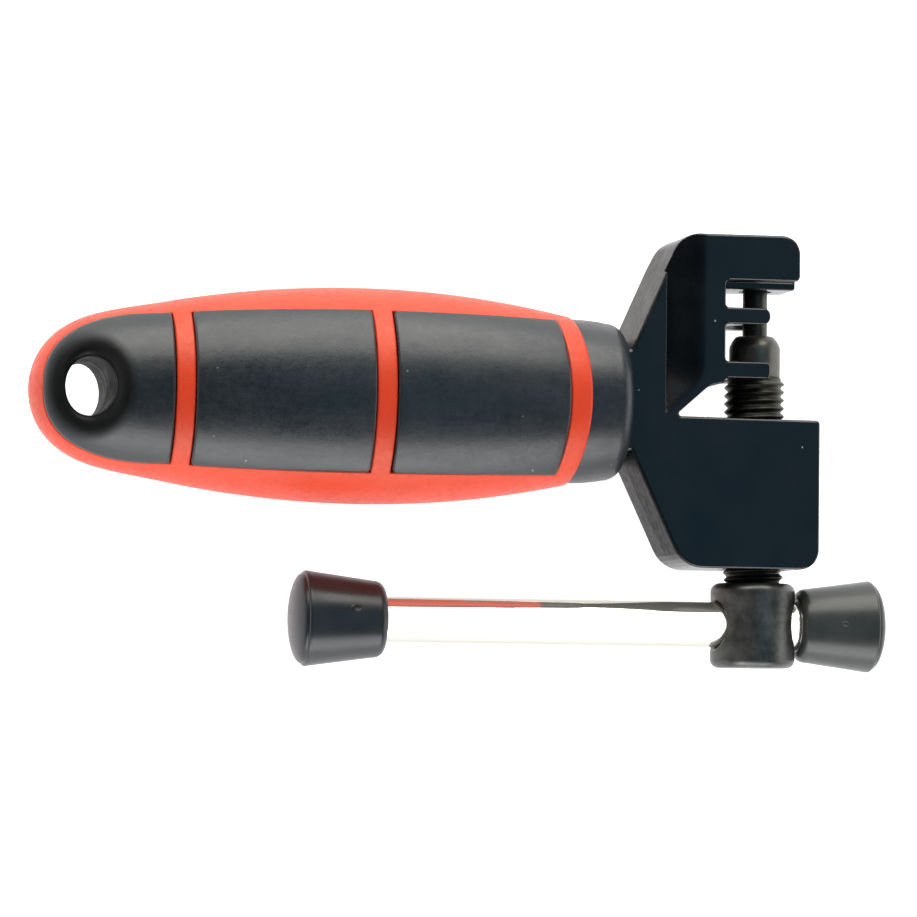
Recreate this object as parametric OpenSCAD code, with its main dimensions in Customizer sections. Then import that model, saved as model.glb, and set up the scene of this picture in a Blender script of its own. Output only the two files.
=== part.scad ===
// Bicycle chain tool with a moulded grip and a sliding tommy bar.
// Millimetres, +Z up. The tool lies on its side: grip along X, screw along Y.
// Construction origin: screw axis meets grip axis in the mid plane. place() moves it to the box bottom centre.

/* [Frame] */
// thickness of the steel frame
frame_t = 12; // [11.6:0.1:13]
// height of the jaw's top above the grip axis
jaw_top = 22; // [21:0.1:24]
// depth of the block's bottom below the grip axis
block_bottom = 21.3; // [20.5:0.1:22.4]
// how far the jaw reaches past the screw axis
jaw_reach = 4.6; // [3.6:0.1:6]
// how far the block reaches past the screw axis
block_reach = 7.4; // [6.4:0.1:8]
// half width of the neck where it enters the grip
neck_half = 6.5; // [6:0.05:7]
// depth of the scooped relief in the arm
scoop_depth = 1.2; // [0.6:0.1:1.8]
// diameter of the rivet exit hole through the jaw
exit_d = 4.2; // [3.9:0.1:4.6]
// distance from the screw axis to the spine
throat = 5.4; // [5.1:0.1:5.8]

/* [Cradles] */
// thickness of a cradle tooth, under the inside width of a narrow chain
tooth_t = 2.15; // [1.8:0.05:2.3]
// height of the upper cradle's middle
upper_v = 11.35; // [11:0.05:11.6]
// height of the lower cradle's middle
lower_v = 4.28; // [4:0.05:4.6]
// how far the teeth reach past the screw axis
tooth_reach = 0.6; // [0:0.1:2]
// width of the roller slot between the teeth
slot_w = 8.5; // [8.3:0.1:9]
// height of the anvil pad's face
anvil_v = 15; // [14.7:0.05:15.5]
// width of the anvil pad across the frame
anvil_w = 7.8; // [7:0.1:11]

/* [Screw] */
// outside diameter of the screw thread
thread_d = 7.94; // [7.6:0.01:8]
// thread pitch
pitch = 1.058; // [1:0.001:1.25]
// thread depth
thread_depth = 0.62; // [0.5:0.01:0.7]
// radial play of the thread in the block
thread_play = 0.08; // [0.05:0.01:0.15]
// diameter of the barrel head
head_d = 11.1; // [10:0.1:11.6]
// length of the barrel head
head_len = 11.1; // [10:0.1:12]
// top of the barrel head below the grip axis
head_top = 23.4; // [23:0.1:25]
// top of the thread above the grip axis
thread_top = 3.6; // [3:0.1:4]
// outside diameter of the nose
nose_d = 6.7; // [6.3:0.1:7]
// top of the nose
nose_top = 9.1; // [8.8:0.1:9.6]
// diameter of the driver pin
pin_d = 3.25; // [3:0.05:3.4]
// height of the driver pin's tip
pin_tip = 15.7; // [14:0.1:18]

/* [Tommy bar] */
// diameter of the bar
bar_d = 6; // [5.6:0.1:6.2]
// radial play of the bar in the barrel head
bar_play = 0.09; // [0.05:0.01:0.15]
// depth of the bar's axis below the grip axis
bar_v = 28.85; // [28.5:0.05:29.5]
// clear length of bar between the two knobs
bar_clear = 55.4; // [40:0.1:64]
// play between the near knob and the barrel head
knob_gap = 0.55; // [0.2:0.05:1]
// length of a knob
knob_len = 12.3; // [11:0.1:14]
// diameter of a knob's rim
knob_d = 12.4; // [11.6:0.1:12.6]
// diameter of a knob's inner end
knob_small_d = 9.9; // [9:0.1:10.6]

/* [Grip] */
// distance from the screw axis to the butt
butt_u = 95.8; // [95:0.1:100]
// largest radius of the red cage
grip_r = 14; // [13.6:0.1:15]
// thickness of the red cage
cage_t = 1.9; // [1.5:0.1:2.2]
// how far the pads stand proud of the cage
pad_proud = 0.35; // [0.1:0.05:0.6]
// gap round each pad
pad_gap = 0.05; // [0.02:0.01:0.15]
// distance from the screw axis to the hanging hole
hole_u = 88.3; // [88:0.1:88.6]
// diameter of the hanging hole
hole_d = 7.4; // [6:0.1:7.8]
// wall of the hanging hole's liner
liner_t = 0.8; // [0.6:0.1:0.9]
// how far the liner's ends lie under the pads' surface
liner_drop = 0.25; // [0:0.05:0.5]
// length of the tang inside the grip
tang_len = 42; // [30:1:50]
// half height of the tang
tang_half = 4.6; // [4:0.1:5]
// thickness of the tang
tang_t = 7; // [5:0.5:8]
// diameter of the two locking holes in the tang
lock_d = 4; // [3:0.1:5]

/* [Hidden] */
$fn = 96;
big = 200;
eps = 0.02;
neck_u = -18;        // neck at the collar's face
neck_in = -19.5;     // where the neck steps down to the tang
collar_front = -18.2;
cage_front = -24.6;
head_bottom = head_top + head_len;
knob_r_in = head_d / 2 + knob_gap;            // inner face of the near knob
knob_l_in = knob_r_in - bar_clear;            // inner face of the far knob
bar_right = knob_r_in + knob_len - 1.6;
bar_left = knob_l_in - knob_len + 1.6;
x_max = knob_r_in + knob_len;
y_min = -max(bar_v + knob_d / 2, head_bottom);
z_half = grip_r + pad_proud;
offset_x = -(x_max - butt_u) / 2;
offset_y = -(jaw_top + y_min) / 2;

// ---------- helpers ----------
module place() { translate([offset_x, offset_y, z_half]) children(); }

// unit vector
function unit(a) = a / norm(a);
// corner of a closed outline rounded by radius r: arc points from one edge to the next
function corner(p, i, r) =
    let (n = len(p), v = p[i], a = unit(p[(i + n - 1) % n] - v), b = unit(p[(i + 1) % n] - v),
         half = acos(max(-1, min(1, a * b))) / 2, c = v + unit(a + b) * r / sin(half),
         s = v + a * r / tan(half) - c, turn = (180 - 2 * half) * sign(-a[0] * b[1] + a[1] * b[0]),
         m = max(3, ceil(abs(turn) / 9)))
    [for (k = [0:m]) let (t = turn * k / m) c + [s[0] * cos(t) - s[1] * sin(t), s[0] * sin(t) + s[1] * cos(t)]];
// outline with every corner rounded by its own radius, 0 for sharp
module rounded(p, r) { polygon([for (i = [0:len(p) - 1]) each r[i] > 0 ? corner(p, i, r[i]) : [p[i]]]); }
// solid of revolution about the grip axis from [u, radius] points
module turned_u(p) { rotate([0, 90, 0]) rotate_extrude() polygon([for (q = p) [q[1], q[0]]]); }
// solid of revolution about the screw axis from [v, radius] points
module turned_v(p) { rotate([-90, 0, 0]) rotate_extrude() polygon([for (q = p) [q[1], q[0]]]); }

// ---------- frame ----------
slope_up = 0.443;    // run of the upper slant for each unit of rise
slope_dn = 0.493;
module frame_outline() {
    p = [[neck_in, -neck_half], [neck_u, -neck_half], [neck_u + (block_bottom - neck_half) * slope_dn, -block_bottom],
         [block_reach, -block_bottom], [block_reach, -2.1], [-12.15, -1.95], [-7.6, 2.05], [-throat, 2.55], [-throat, 16], [jaw_reach, 16],
         [jaw_reach, jaw_top], [neck_u + (jaw_top - neck_half) * slope_up, jaw_top], [neck_u, neck_half], [neck_in, neck_half]];
    r = [0, 0, 4.3, 2.6, 0.5, 0.35, 1.8, 0.4, 0.6, 0.6, 2.4, 3.4, 0, 0];
    rounded(p, r);
}
module cradle(v) {
    translate([0, 0, -frame_t / 2]) linear_extrude(frame_t) translate([0, v])
        rounded([[-throat - 1, -tooth_t / 2], [tooth_reach, -tooth_t / 2], [tooth_reach, tooth_t / 2], [-throat - 1, tooth_t / 2]],
                [0, 0.7, 0.7, 0]);
}
module slot(v) {
    translate([0, v, 0]) rotate([90, 0, 0]) translate([0, 0, -tooth_t])
        linear_extrude(2 * tooth_t) { circle(slot_w / 2); translate([0, -slot_w / 2]) square([big, slot_w]); }
}
module scoop() {
    r = 12.5;
    intersection() {
        translate([-13.1, 40, frame_t / 2 - scoop_depth + r]) rotate([90, 0, 0]) cylinder(r = r, h = 80);
        linear_extrude(40) polygon([[-13.35, 40], [-13.35, -1.3], [-12.75, -1.3], [-7.2, 4], [-7.2, 40]]);
    }
}
module frame() {
    color([0.09, 0.12, 0.15]) place() difference() {
        union() {
            translate([0, 0, -frame_t / 2]) linear_extrude(frame_t) frame_outline();
            cradle(upper_v);
            cradle(lower_v);
            // anvil pad under the jaw
            translate([0, 0, -anvil_w / 2]) linear_extrude(anvil_w)
                rounded([[-throat - 1, anvil_v], [jaw_reach - 0.2, anvil_v], [jaw_reach - 0.2, 17], [-throat - 1, 17]], [0, 0.5, 0, 0]);
            // tang in the grip
            translate([neck_in - tang_len, -tang_half, -tang_t / 2]) cube([tang_len + 1, 2 * tang_half, tang_t]);
        }
        slot(upper_v);
        slot(lower_v);
        scoop();
        mirror([0, 0, 1]) scoop();
        // tapped hole, at the thread's outside diameter
        translate([0, 0, 0]) rotate([90, 0, 0]) cylinder(d = thread_d + 2 * thread_play, h = 40);
        // rivet exit hole
        translate([0, 40, 0]) rotate([90, 0, 0]) cylinder(d = exit_d, h = 27);
        // locking holes in the tang
        for (k = [0.35, 0.75]) translate([neck_in - tang_len * k, 0, -20]) cylinder(d = lock_d, h = 40);
    }
}

// ---------- grip ----------
// radius of the red cage at u, with a blunt rounded butt
butt_run = 16.5;
butt_slope = 0.17;
butt_power = 4.3;
arc_mid = -53;
arc_r = 134;
function body_r(u) = grip_r - arc_r + sqrt(arc_r * arc_r - (u - arc_mid) * (u - arc_mid));
butt_join = -butt_u + butt_run;
butt_steps = 14;
// points [u, radius] of the cage moved inward by d, from the butt to the front
function skin(d, front) = concat(
    [for (k = [0:butt_steps - 1]) let (q = cos(90 * k / butt_steps))
        [butt_join - (butt_run - d) * q, (body_r(butt_join) - butt_slope * butt_run * q - d) * sqrt(1 - pow(q, butt_power))]],
    [for (k = [0:13]) let (u = butt_join + (front - butt_join) * k / 13) [u, body_r(u) - d]]);
module solid_skin(d, front) { turned_u(concat(skin(d, front), [[front, 0]])); }

// plan of the three windows, from the photo
function win_half(u) = lookup(u, [[-80, 9.6], [-75, 9.8], [-69, 10.1], [-62, 10.3], [-54, 10.4], [-42, 10.3], [-27, 10]]);
module butt_window(g) {
    u1 = -78.3;
    w = 2.4;
    n = 14;
    a = [for (k = [0:n]) let (t = 90 * k / n) [butt_join - (butt_run - 1.3 - g) * pow(cos(t), 2 / w), (win_half(butt_join) - g) * pow(sin(t), 2 / w)]];
    polygon(concat([for (q = a) [q[0], -q[1]]], [[u1 - g, -win_half(u1) + g], [u1 - g, win_half(u1) - g]], [for (k = [n:-1:1]) a[k]]));
}
module window(u0, u1, g) {
    m = (u0 + u1) / 2;
    p = [[u0 + g, -win_half(u0) + g], [m, -win_half(m) + g], [u1 - g, -win_half(u1) + g],
         [u1 - g, win_half(u1) - g], [m, win_half(m) - g], [u0 + g, win_half(u0) - g]];
    rounded(p, [0.7, 0, 0.7, 0.7, 0, 0.7]);
}
module mid_window(g) { window(-75.9, -52.9, g); }
module fore_window(g) { window(-50.3, -27.5, g); }
module hole_bore(d) { translate([-hole_u, 0, -50]) cylinder(d = d, h = 100); }

module handle_core() {
    color([0.08, 0.08, 0.09]) place() difference() {
        union() {
            solid_skin(cage_t + 0.04, cage_front);
            turned_u([[cage_front - 1, 0], [cage_front - 1, 7.56], [neck_in, 7.56], [neck_in, 0]]);
        }
        difference() {
            translate([neck_in - tang_len, -tang_half, -tang_t / 2]) cube([tang_len + 1, 2 * tang_half, tang_t]);
            for (k = [0.35, 0.75]) translate([neck_in - tang_len * k, 0, -20]) cylinder(d = lock_d, h = 40);
        }
        hole_bore(hole_d + 2 * liner_t + 0.06);
    }
}
module grip_cage() {
    color([0.86, 0.17, 0.1]) place() difference() {
        solid_skin(0, cage_front);
        solid_skin(cage_t, cage_front);
        translate([cage_front - 0.04, 0, 0]) rotate([0, 90, 0]) cylinder(r = 30, h = 5);
        translate([0, 0, -40]) linear_extrude(80) { butt_window(0); mid_window(0); fore_window(0); }
    }
}
module pad_blank() {
    difference() {
        solid_skin(-pad_proud, cage_front);
        solid_skin(cage_t, cage_front);
    }
}
module butt_pad() {
    difference() {
        intersection() {
            pad_blank();
            linear_extrude(40) butt_window(pad_gap);
        }
        hole_bore(hole_d + 2 * liner_t + 0.06);
    }
}
module butt_pad_front() { color([0.13, 0.14, 0.15]) place() butt_pad(); }
module butt_pad_back() { color([0.13, 0.14, 0.15]) place() mirror([0, 0, 1]) butt_pad(); }
module mid_pad() {
    intersection() {
        pad_blank();
        linear_extrude(40) mid_window(pad_gap);
    }
}
module mid_pad_front() { color([0.13, 0.14, 0.15]) place() mid_pad(); }
module mid_pad_back() { color([0.13, 0.14, 0.15]) place() mirror([0, 0, 1]) mid_pad(); }
module fore_pad() {
    intersection() {
        pad_blank();
        linear_extrude(40) fore_window(pad_gap);
    }
}
module fore_pad_front() { color([0.13, 0.14, 0.15]) place() fore_pad(); }
module fore_pad_back() { color([0.13, 0.14, 0.15]) place() mirror([0, 0, 1]) fore_pad(); }
module neck_collar() {
    r0 = body_r(cage_front) - 0.25;
    color([0.12, 0.13, 0.14]) place() difference() {
        turned_u(concat([[cage_front, 0], [cage_front, r0], [-20.5, 10.3]],
            [for (k = [1:7]) [-20.5 + 2.3 * sin(90 * k / 7), 8 + 2.3 * cos(90 * k / 7)]], [[collar_front, 0]]));
        turned_u([[cage_front - 1, 0], [cage_front - 1, 7.6], [neck_in, 7.6], [neck_in, 0]]);
        translate([neck_in - 1, -neck_half, -frame_t / 2]) cube([5, 2 * neck_half, frame_t]);
    }
}
// tube through the grip, its ends trimmed to the pads' surface
module hang_hole_liner() {
    color([0.1, 0.1, 0.11]) place() difference() {
        intersection() {
            hole_bore(hole_d + 2 * liner_t);
            solid_skin(liner_drop - pad_proud, cage_front);
        }
        hole_bore(hole_d);
    }
}

// ---------- screw ----------
// closed helical thread along +Z, with run-out at both ends
seg = 20;
root_r = thread_d / 2 - thread_depth;
turns = floor((head_top + thread_top) / pitch) - 1;
steps = seg * turns;
t_len = head_top + thread_top;
t_z0 = (t_len - (turns + 1) * pitch) / 2 + pitch * 0.05;
flank = 0.33 * pitch;
crest = 0.12 * pitch;
prof = [[0, 0], [flank, 1], [flank + crest, 1], [2 * flank + crest, 0]];
function run_out(s) = min(1, min(s, steps - s) / (seg * 0.6));
function thread_pt(s, k) =
    let (a = 360 * s / seg, r = root_r + prof[k][1] * thread_depth * run_out(s))
    [r * cos(a), r * sin(a), t_z0 + pitch * s / seg + prof[k][0]];
module helix() {
    rows = [for (s = [0:steps]) for (k = [0:3]) thread_pt(s, k)];
    low = [for (j = [0:seg - 1]) [root_r * cos(360 * j / seg), root_r * sin(360 * j / seg), -0.6]];
    top = [for (j = [0:seg - 1]) [root_r * cos(360 * j / seg), root_r * sin(360 * j / seg), t_len]];
    nl = 4 * (steps + 1);
    nt = nl + seg;
    side = [for (s = [0:steps - 1]) for (k = [0:2]) for (f = [0, 1])
        f == 0 ? [4 * s + k, 4 * s + k + 1, 4 * (s + 1) + k] : [4 * (s + 1) + k, 4 * s + k + 1, 4 * (s + 1) + k + 1]];
    root = [for (s = [0:steps - seg - 1]) for (f = [0, 1])
        f == 0 ? [4 * s + 3, 4 * (s + seg), 4 * (s + 1) + 3] : [4 * (s + 1) + 3, 4 * (s + seg), 4 * (s + seg + 1)]];
    u0 = steps - seg;
    up = [for (j = [1:seg - 1]) for (f = [0, 1])
        f == 0 ? [4 * (u0 + j) + 3, nt + j, 4 * (u0 + j + 1) + 3] : [4 * (u0 + j + 1) + 3, nt + j, nt + (j + 1) % seg]];
    line_u = [4 * u0 + 3, 4 * steps, 4 * steps + 1, 4 * steps + 2, 4 * steps + 3, nt];
    up0 = concat([for (i = [0:4]) [4 * (u0 + 1) + 3, line_u[i], line_u[i + 1]]], [[4 * (u0 + 1) + 3, nt, nt + 1]]);
    dn = [for (j = [0:seg - 2]) for (f = [0, 1])
        f == 0 ? [4 * j, 4 * (j + 1), nl + j] : [nl + j, 4 * (j + 1), nl + (j + 1) % seg]];
    line_d = [nl, 0, 1, 2, 3, 4 * seg];
    dn0 = concat([for (i = [0:4]) [4 * (seg - 1), line_d[i + 1], line_d[i]]], [[4 * (seg - 1), nl, nl + seg - 1]]);
    polyhedron(concat(rows, low, top), concat(side, root, up, up0, dn, dn0,
        [[for (j = [0:seg - 1]) nl + j]], [[for (j = [seg - 1:-1:0]) nt + j]]), convexity = 12);
}
module spindle_screw() {
    e = 1.1;
    color([0.27, 0.26, 0.25]) place() union() {
        translate([0, -head_top, 0]) rotate([-90, 0, 0]) helix();
        turned_v([[thread_top - 0.6, 0], [thread_top - 0.6, 2.5], [6.1, 2.5], [6.1, 0]]);
        difference() {
            turned_v(concat([[-head_bottom, 0]],
                [for (k = [0:6]) [-head_bottom + e - e * cos(90 * k / 6), head_d / 2 - e + e * sin(90 * k / 6)]],
                [for (k = [0:6]) [-head_top - e + e * sin(90 * k / 6), head_d / 2 - e + e * cos(90 * k / 6)]], [[-head_top, 0]]));
            translate([-20, -bar_v, 0]) rotate([0, 90, 0]) cylinder(d = bar_d + 2 * bar_play, h = 40);
        }
    }
}
module pin_nose() {
    color([0.5, 0.48, 0.44]) place() difference() {
        turned_v([[thread_top + 0.05, 0], [thread_top + 0.05, nose_d / 2], [nose_top - 1.35, nose_d / 2], [nose_top - 0.8, nose_d / 2 - 0.12],
            [nose_top - 0.35, nose_d / 2 - 0.34], [nose_top, nose_d / 2 - 0.75], [nose_top, 0]]);
        translate([0, 0, 0]) rotate([-90, 0, 0]) cylinder(r = 2.5, h = 7.5);
        rotate([-90, 0, 0]) cylinder(d = pin_d + 0.1, h = 20);
    }
}
module driver_pin() {
    color([0.35, 0.34, 0.32]) place()
        turned_v([[6.2, 0], [6.2, 2.42], [7.4, 2.42], [7.4, pin_d / 2], [pin_tip - 0.35, pin_d / 2], [pin_tip, pin_d / 2 - 0.35], [pin_tip, 0]]);
}

// ---------- tommy bar ----------
module tommy_bar() {
    color([0.8, 0.8, 0.82]) place() translate([0, -bar_v, 0])
        turned_u([[bar_left, 0], [bar_left, bar_d / 2 - 0.5], [bar_left + 0.5, bar_d / 2], [bar_right - 0.5, bar_d / 2], [bar_right, bar_d / 2 - 0.5], [bar_right, 0]]);
}
// knob with its inner face at u = 0 and its dome towards +u
module knob() {
    e = 1.1;
    rim = knob_len - 2;
    difference() {
        turned_u(concat([[0, 0]], [for (k = [0:5]) [e - e * cos(90 * k / 5), knob_small_d / 2 - e + e * sin(90 * k / 5)]],
            [[rim - 0.5, knob_d / 2 - 0.06], [rim, knob_d / 2], [rim + 0.45, knob_d / 2 - 0.14], [rim + 0.75, knob_d / 2 - 0.55]],
            [for (k = [1:6]) [rim + 0.75 + (knob_len - rim - 0.75) * sin(90 * k / 6), (knob_d / 2 - 0.55) * cos(90 * k / 6)]]));
        translate([-1, 0, 0]) rotate([0, 90, 0]) cylinder(d = bar_d, h = knob_len - 1.6 + 1);
    }
}
module knob_left() { color([0.1, 0.1, 0.11]) place() translate([knob_l_in, -bar_v, 0]) mirror([1, 0, 0]) knob(); }
module knob_right() { color([0.1, 0.1, 0.11]) place() translate([knob_r_in, -bar_v, 0]) knob(); }

frame();
handle_core();
grip_cage();
butt_pad_front();
butt_pad_back();
mid_pad_front();
mid_pad_back();
fore_pad_front();
fore_pad_back();
neck_collar();
hang_hole_liner();
spindle_screw();
pin_nose();
driver_pin();
tommy_bar();
knob_left();
knob_right();
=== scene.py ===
import math

import bmesh
import bpy
import numpy as np
from mathutils import Matrix


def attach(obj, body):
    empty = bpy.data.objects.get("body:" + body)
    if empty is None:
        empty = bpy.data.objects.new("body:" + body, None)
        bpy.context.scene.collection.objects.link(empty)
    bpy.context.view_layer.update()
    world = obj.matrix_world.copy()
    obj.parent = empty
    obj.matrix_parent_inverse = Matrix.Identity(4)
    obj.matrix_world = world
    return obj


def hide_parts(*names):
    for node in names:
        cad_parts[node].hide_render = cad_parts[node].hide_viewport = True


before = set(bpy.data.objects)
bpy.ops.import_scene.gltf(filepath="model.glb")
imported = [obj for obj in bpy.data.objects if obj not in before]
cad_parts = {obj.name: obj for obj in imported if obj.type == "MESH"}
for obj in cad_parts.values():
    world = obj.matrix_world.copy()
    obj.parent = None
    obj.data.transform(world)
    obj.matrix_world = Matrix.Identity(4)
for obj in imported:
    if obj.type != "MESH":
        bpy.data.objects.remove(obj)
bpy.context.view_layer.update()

# Tool coordinates in millimetres: u along the grip towards the jaw, v along the screw towards the jaw, z across.
# OFF takes them to the row frame.
OFF = np.array([38.7, 6.525, 14.35])
scene = bpy.context.scene


# ---------------------------------------------------------------- materials
class Tree:
    """A node tree with one Principled shader, and short calls for what feeds it."""

    def __init__(self, name):
        self.mat = bpy.data.materials.new(name)
        self.mat.use_nodes = True
        self.nt = self.mat.node_tree
        self.sh = next(n for n in self.nt.nodes if n.type == "BSDF_PRINCIPLED")
        self.co = self.nt.nodes.new("ShaderNodeTexCoord").outputs["Object"]
        self.height = None

    def set(self, **kw):
        for k, v in kw.items():
            self.sh.inputs[k.replace("_", " ")].default_value = v

    def node(self, kind, **kw):
        n = self.nt.nodes.new(kind)
        for k, v in kw.items():
            setattr(n, k, v)
        return n

    def link(self, a, b):
        self.nt.links.new(a, b)

    def noise(self, size_mm, detail=3.0, rough=0.55, stretch=None, shift=0.0):
        m = self.node("ShaderNodeMapping")
        s = 1.0 / (size_mm * 0.001)
        st = stretch or (1, 1, 1)
        m.inputs["Scale"].default_value = (s / st[0], s / st[1], s / st[2])
        m.inputs["Location"].default_value = (shift, shift * 0.7, shift * 0.3)
        n = self.node("ShaderNodeTexNoise")
        n.inputs["Scale"].default_value = 1.0
        n.inputs["Detail"].default_value = detail
        n.inputs["Roughness"].default_value = rough
        self.link(self.co, m.inputs["Vector"])
        self.link(m.outputs["Vector"], n.inputs["Vector"])
        return n.outputs["Fac"]

    def span(self, val, a, b, c, d):
        r = self.node("ShaderNodeMapRange")
        r.clamp = True
        for k, x in zip(("From Min", "From Max", "To Min", "To Max"), (a, b, c, d)):
            r.inputs[k].default_value = x
        self.link(val, r.inputs["Value"])
        return r.outputs["Result"]

    def math(self, op, a, b):
        m = self.node("ShaderNodeMath", operation=op)
        for i, x in enumerate((a, b)):
            if isinstance(x, (int, float)):
                m.inputs[i].default_value = x
            else:
                self.link(x, m.inputs[i])
        return m.outputs[0]

    def mix(self, fac, a, b):
        m = self.node("ShaderNodeMix", data_type="RGBA")
        for key, x in ((0, fac), (6, a), (7, b)):
            if isinstance(x, (int, float)):
                m.inputs[key].default_value = x
            elif isinstance(x, tuple):
                m.inputs[key].default_value = (*x, 1.0)
            else:
                self.link(x, m.inputs[key])
        return m.outputs[2]

    def color(self, out):
        self.link(out, self.sh.inputs["Base Color"])

    def rough(self, out):
        self.link(out, self.sh.inputs["Roughness"])

    def bump(self, height, strength, dist_mm):
        b = self.node("ShaderNodeBump")
        b.inputs["Strength"].default_value = strength
        b.inputs["Distance"].default_value = dist_mm * 0.001
        self.link(height, b.inputs["Height"])
        if self.height is not None:
            self.link(self.height, b.inputs["Normal"])
        self.height = b.outputs["Normal"]
        self.link(self.height, self.sh.inputs["Normal"])


def specks(t, size_mm, rarity, shift):
    """A mask of rare small dots."""
    m = t.node("ShaderNodeMapping")
    s = 1.0 / (size_mm * 0.001)
    m.inputs["Scale"].default_value = (s, s, s * 0.4)
    m.inputs["Location"].default_value = (shift, shift, shift)
    v = t.node("ShaderNodeTexVoronoi", feature="F1")
    v.inputs["Scale"].default_value = 1.0
    t.link(t.co, m.inputs["Vector"])
    t.link(m.outputs["Vector"], v.inputs["Vector"])
    near = t.span(v.outputs["Distance"], 0.04, 0.08, 1.0, 0.0)
    sep = t.node("ShaderNodeSeparateColor")
    t.link(v.outputs["Color"], sep.inputs["Color"])
    rare = t.math("GREATER_THAN", sep.outputs[0], 1.0 - rarity)
    return t.math("MULTIPLY", near, rare)


def paint():
    t = Tree("frame_paint")
    t.set(Metallic=0.0, IOR=1.5, Specular_IOR_Level=0.5)
    big = t.noise(7.0, 2.0)
    fine = t.noise(0.5, 3.0, shift=4.0)
    streak = t.noise(0.42, 4.0, stretch=(1.0, 16.0, 1.2), shift=5.0)
    c = t.mix(t.span(big, 0.35, 0.65, 0.0, 1.0), (0.0010, 0.0014, 0.0018), (0.0022, 0.0028, 0.0033))
    c = t.mix(specks(t, 2.0, 0.07, 3.1), c, (0.26, 0.27, 0.28))
    t.color(c)
    # the cast flanks that face the grip are rougher and streaked; painted shade: their specular level is cut, further
    # on the lower flank whose normal leans to −v, and on faces turned to −v, standing in for the shaded floor they
    # reflect
    nrm = t.node("ShaderNodeSeparateXYZ")
    tc = next(n for n in t.nt.nodes if n.type == "TEX_COORD")
    t.link(tc.outputs["Normal"], nrm.inputs[0])
    flank = t.span(nrm.outputs["X"], -0.82, -0.55, 1.0, 0.0)
    streak_and_shade = t.math("ADD", t.span(streak, 0.36, 0.66, 0.22, 0.28), t.span(nrm.outputs["Y"], -0.40, -0.22, 0.18, 0.0))
    # painted shade: less reflection on faces turned to −v
    under = t.math("MULTIPLY", t.span(nrm.outputs["Y"], -0.55, -0.35, 0.36, 0.0), t.span(nrm.outputs["X"], -0.40, -0.10, 1.0, 0.0))
    t.link(t.math("SUBTRACT", 0.5, t.math("MAXIMUM", t.math("MULTIPLY", flank, streak_and_shade), under)), t.sh.inputs["Specular IOR Level"])
    r = t.span(t.math("ADD", big, t.math("MULTIPLY", fine, 0.35)), 0.4, 0.95, 0.20, 0.31)
    t.rough(t.math("ADD", r, t.math("MULTIPLY", flank, t.span(streak, 0.35, 0.65, 0.10, 0.17))))
    t.bump(t.noise(0.34, 2.0, shift=9.0), 0.24, 0.030)
    t.bump(t.noise(4.0, 2.0, shift=2.0), 0.45, 0.06)
    return t.mat


def red():
    t = Tree("grip_red")
    t.set(IOR=1.46, Specular_IOR_Level=0.42, Specular_Tint=(1.0, 1.0, 0.82, 1.0))
    big = t.noise(9.0, 2.0)
    fine = t.noise(0.8, 3.0, shift=5.0)
    c = t.mix(t.span(big, 0.3, 0.7, 0.0, 1.0), (0.640, 0.042, 0.0125), (0.695, 0.052, 0.0165))
    c = t.mix(t.span(fine, 0.48, 0.72, 0.0, 0.34), c, (0.50, 0.026, 0.009))
    t.color(c)
    t.rough(t.span(fine, 0.3, 0.7, 0.37, 0.52))
    t.bump(t.noise(0.30, 2.0, shift=1.0), 0.22, 0.02)
    t.bump(t.noise(0.9, 4.0, 0.65, shift=12.0), 0.42, 0.06)
    t.bump(t.noise(3.0, 3.0, shift=6.0), 0.25, 0.08)
    return t.mat


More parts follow.
